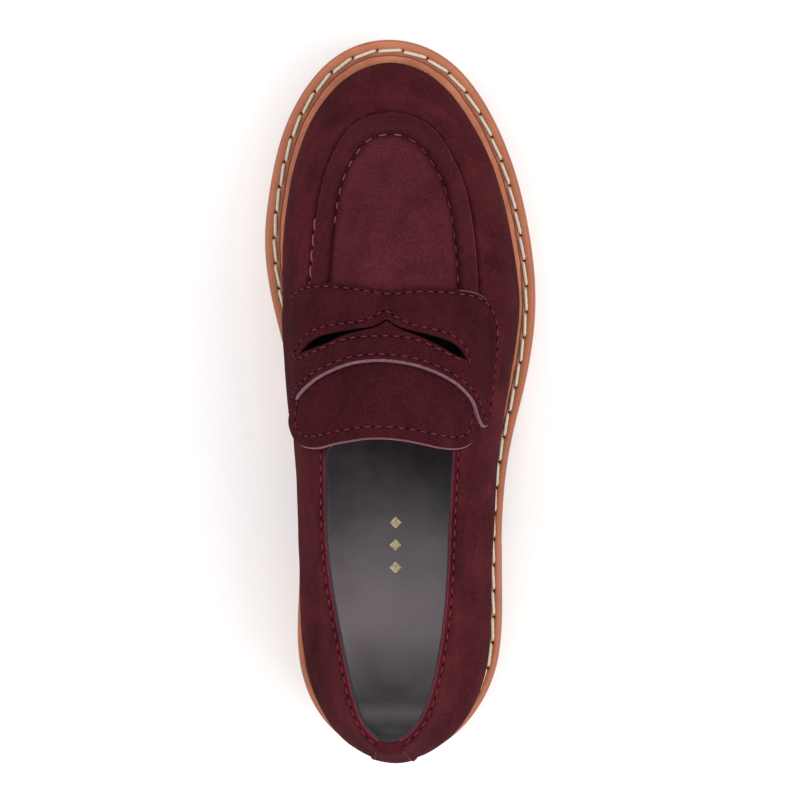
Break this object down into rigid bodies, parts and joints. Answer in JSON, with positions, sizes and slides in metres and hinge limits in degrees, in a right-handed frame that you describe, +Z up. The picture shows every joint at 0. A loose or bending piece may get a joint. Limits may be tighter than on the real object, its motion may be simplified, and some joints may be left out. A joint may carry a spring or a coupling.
{
  "type": "penny loafer",
  "caption": "Slip-on penny loafer with a suede upper, a slotted saddle strap, a stitched welt and a low block heel.",
  "frame": {"origin": "on the ground under the middle of the shoe's length and width", "axes": "+Z up, +Y towards the toe, +X towards the outer (little toe) side of this right shoe"},
  "size_m": [0.099, 0.259, 0.0993],
  "materials": {
    "outsole": "smooth moulded rubber with fine transverse grooves underneath",
    "midsole": "edge-dyed tan leather",
    "heel": "stacked tan leather",
    "top_lift": "moulded rubber, matte",
    "welt": "tan leather with a rounded, waxed edge",
    "welt_thread": "waxed off-white thread",
    "suede": "brushed burgundy suede with a short nap",
    "suede_edge": "raw mauve suede edge",
    "thread": "burgundy thread",
    "lining": "smooth dark grey leather",
    "foam": "soft open-cell foam",
    "board": "pressed fibre board",
    "cork": "granulated cork",
    "steel": "plain spring steel",
    "foil": "pale gold foil, thin and slightly worn"
  },
  "bodies": {
    "shoe": {"outsole": "outsole", "midsole": "midsole", "heel_block": "heel", "top_lift": "top_lift", "heel_nails": "steel", "welt": "welt", "welt_stitches": "welt_thread", "bottom_filler": "cork", "shank": "steel", "insole_board": "board", "footbed_foam": "foam", "sock_lining": "lining", "foil_ornament": "foil", "vamp": "suede", "medial_quarter": "suede", "lateral_quarter": "suede", "heel_strip": "suede", "heel_counter": "board", "collar_padding": "foam", "toe_puff": "board", "quarter_lining": "lining", "vamp_lining": "lining", "topline_binding": "suede", "apron": "suede", "apron_lining": "lining", "tongue": "suede", "tongue_lining": "lining", "saddle_strap": "suede", "strap_backing": "suede_edge", "apron_stitches": "thread", "strap_stitches": "thread", "topline_stitches": "thread"},
    "tongue_end": {"tongue_flap": "suede", "tongue_flap_lining": "lining", "tongue_flap_stitches": "thread"}
  },
  "joints": [
    {"name": "tongue_lift", "type": "hinge", "parent": "shoe", "child": "tongue_end", "pos_m": [0, -0.0042, 0.0978], "axis": [-1, 0, 0], "range_deg": [0, 25], "stiffness_Nm_per_rad": 0.02}
  ]
}
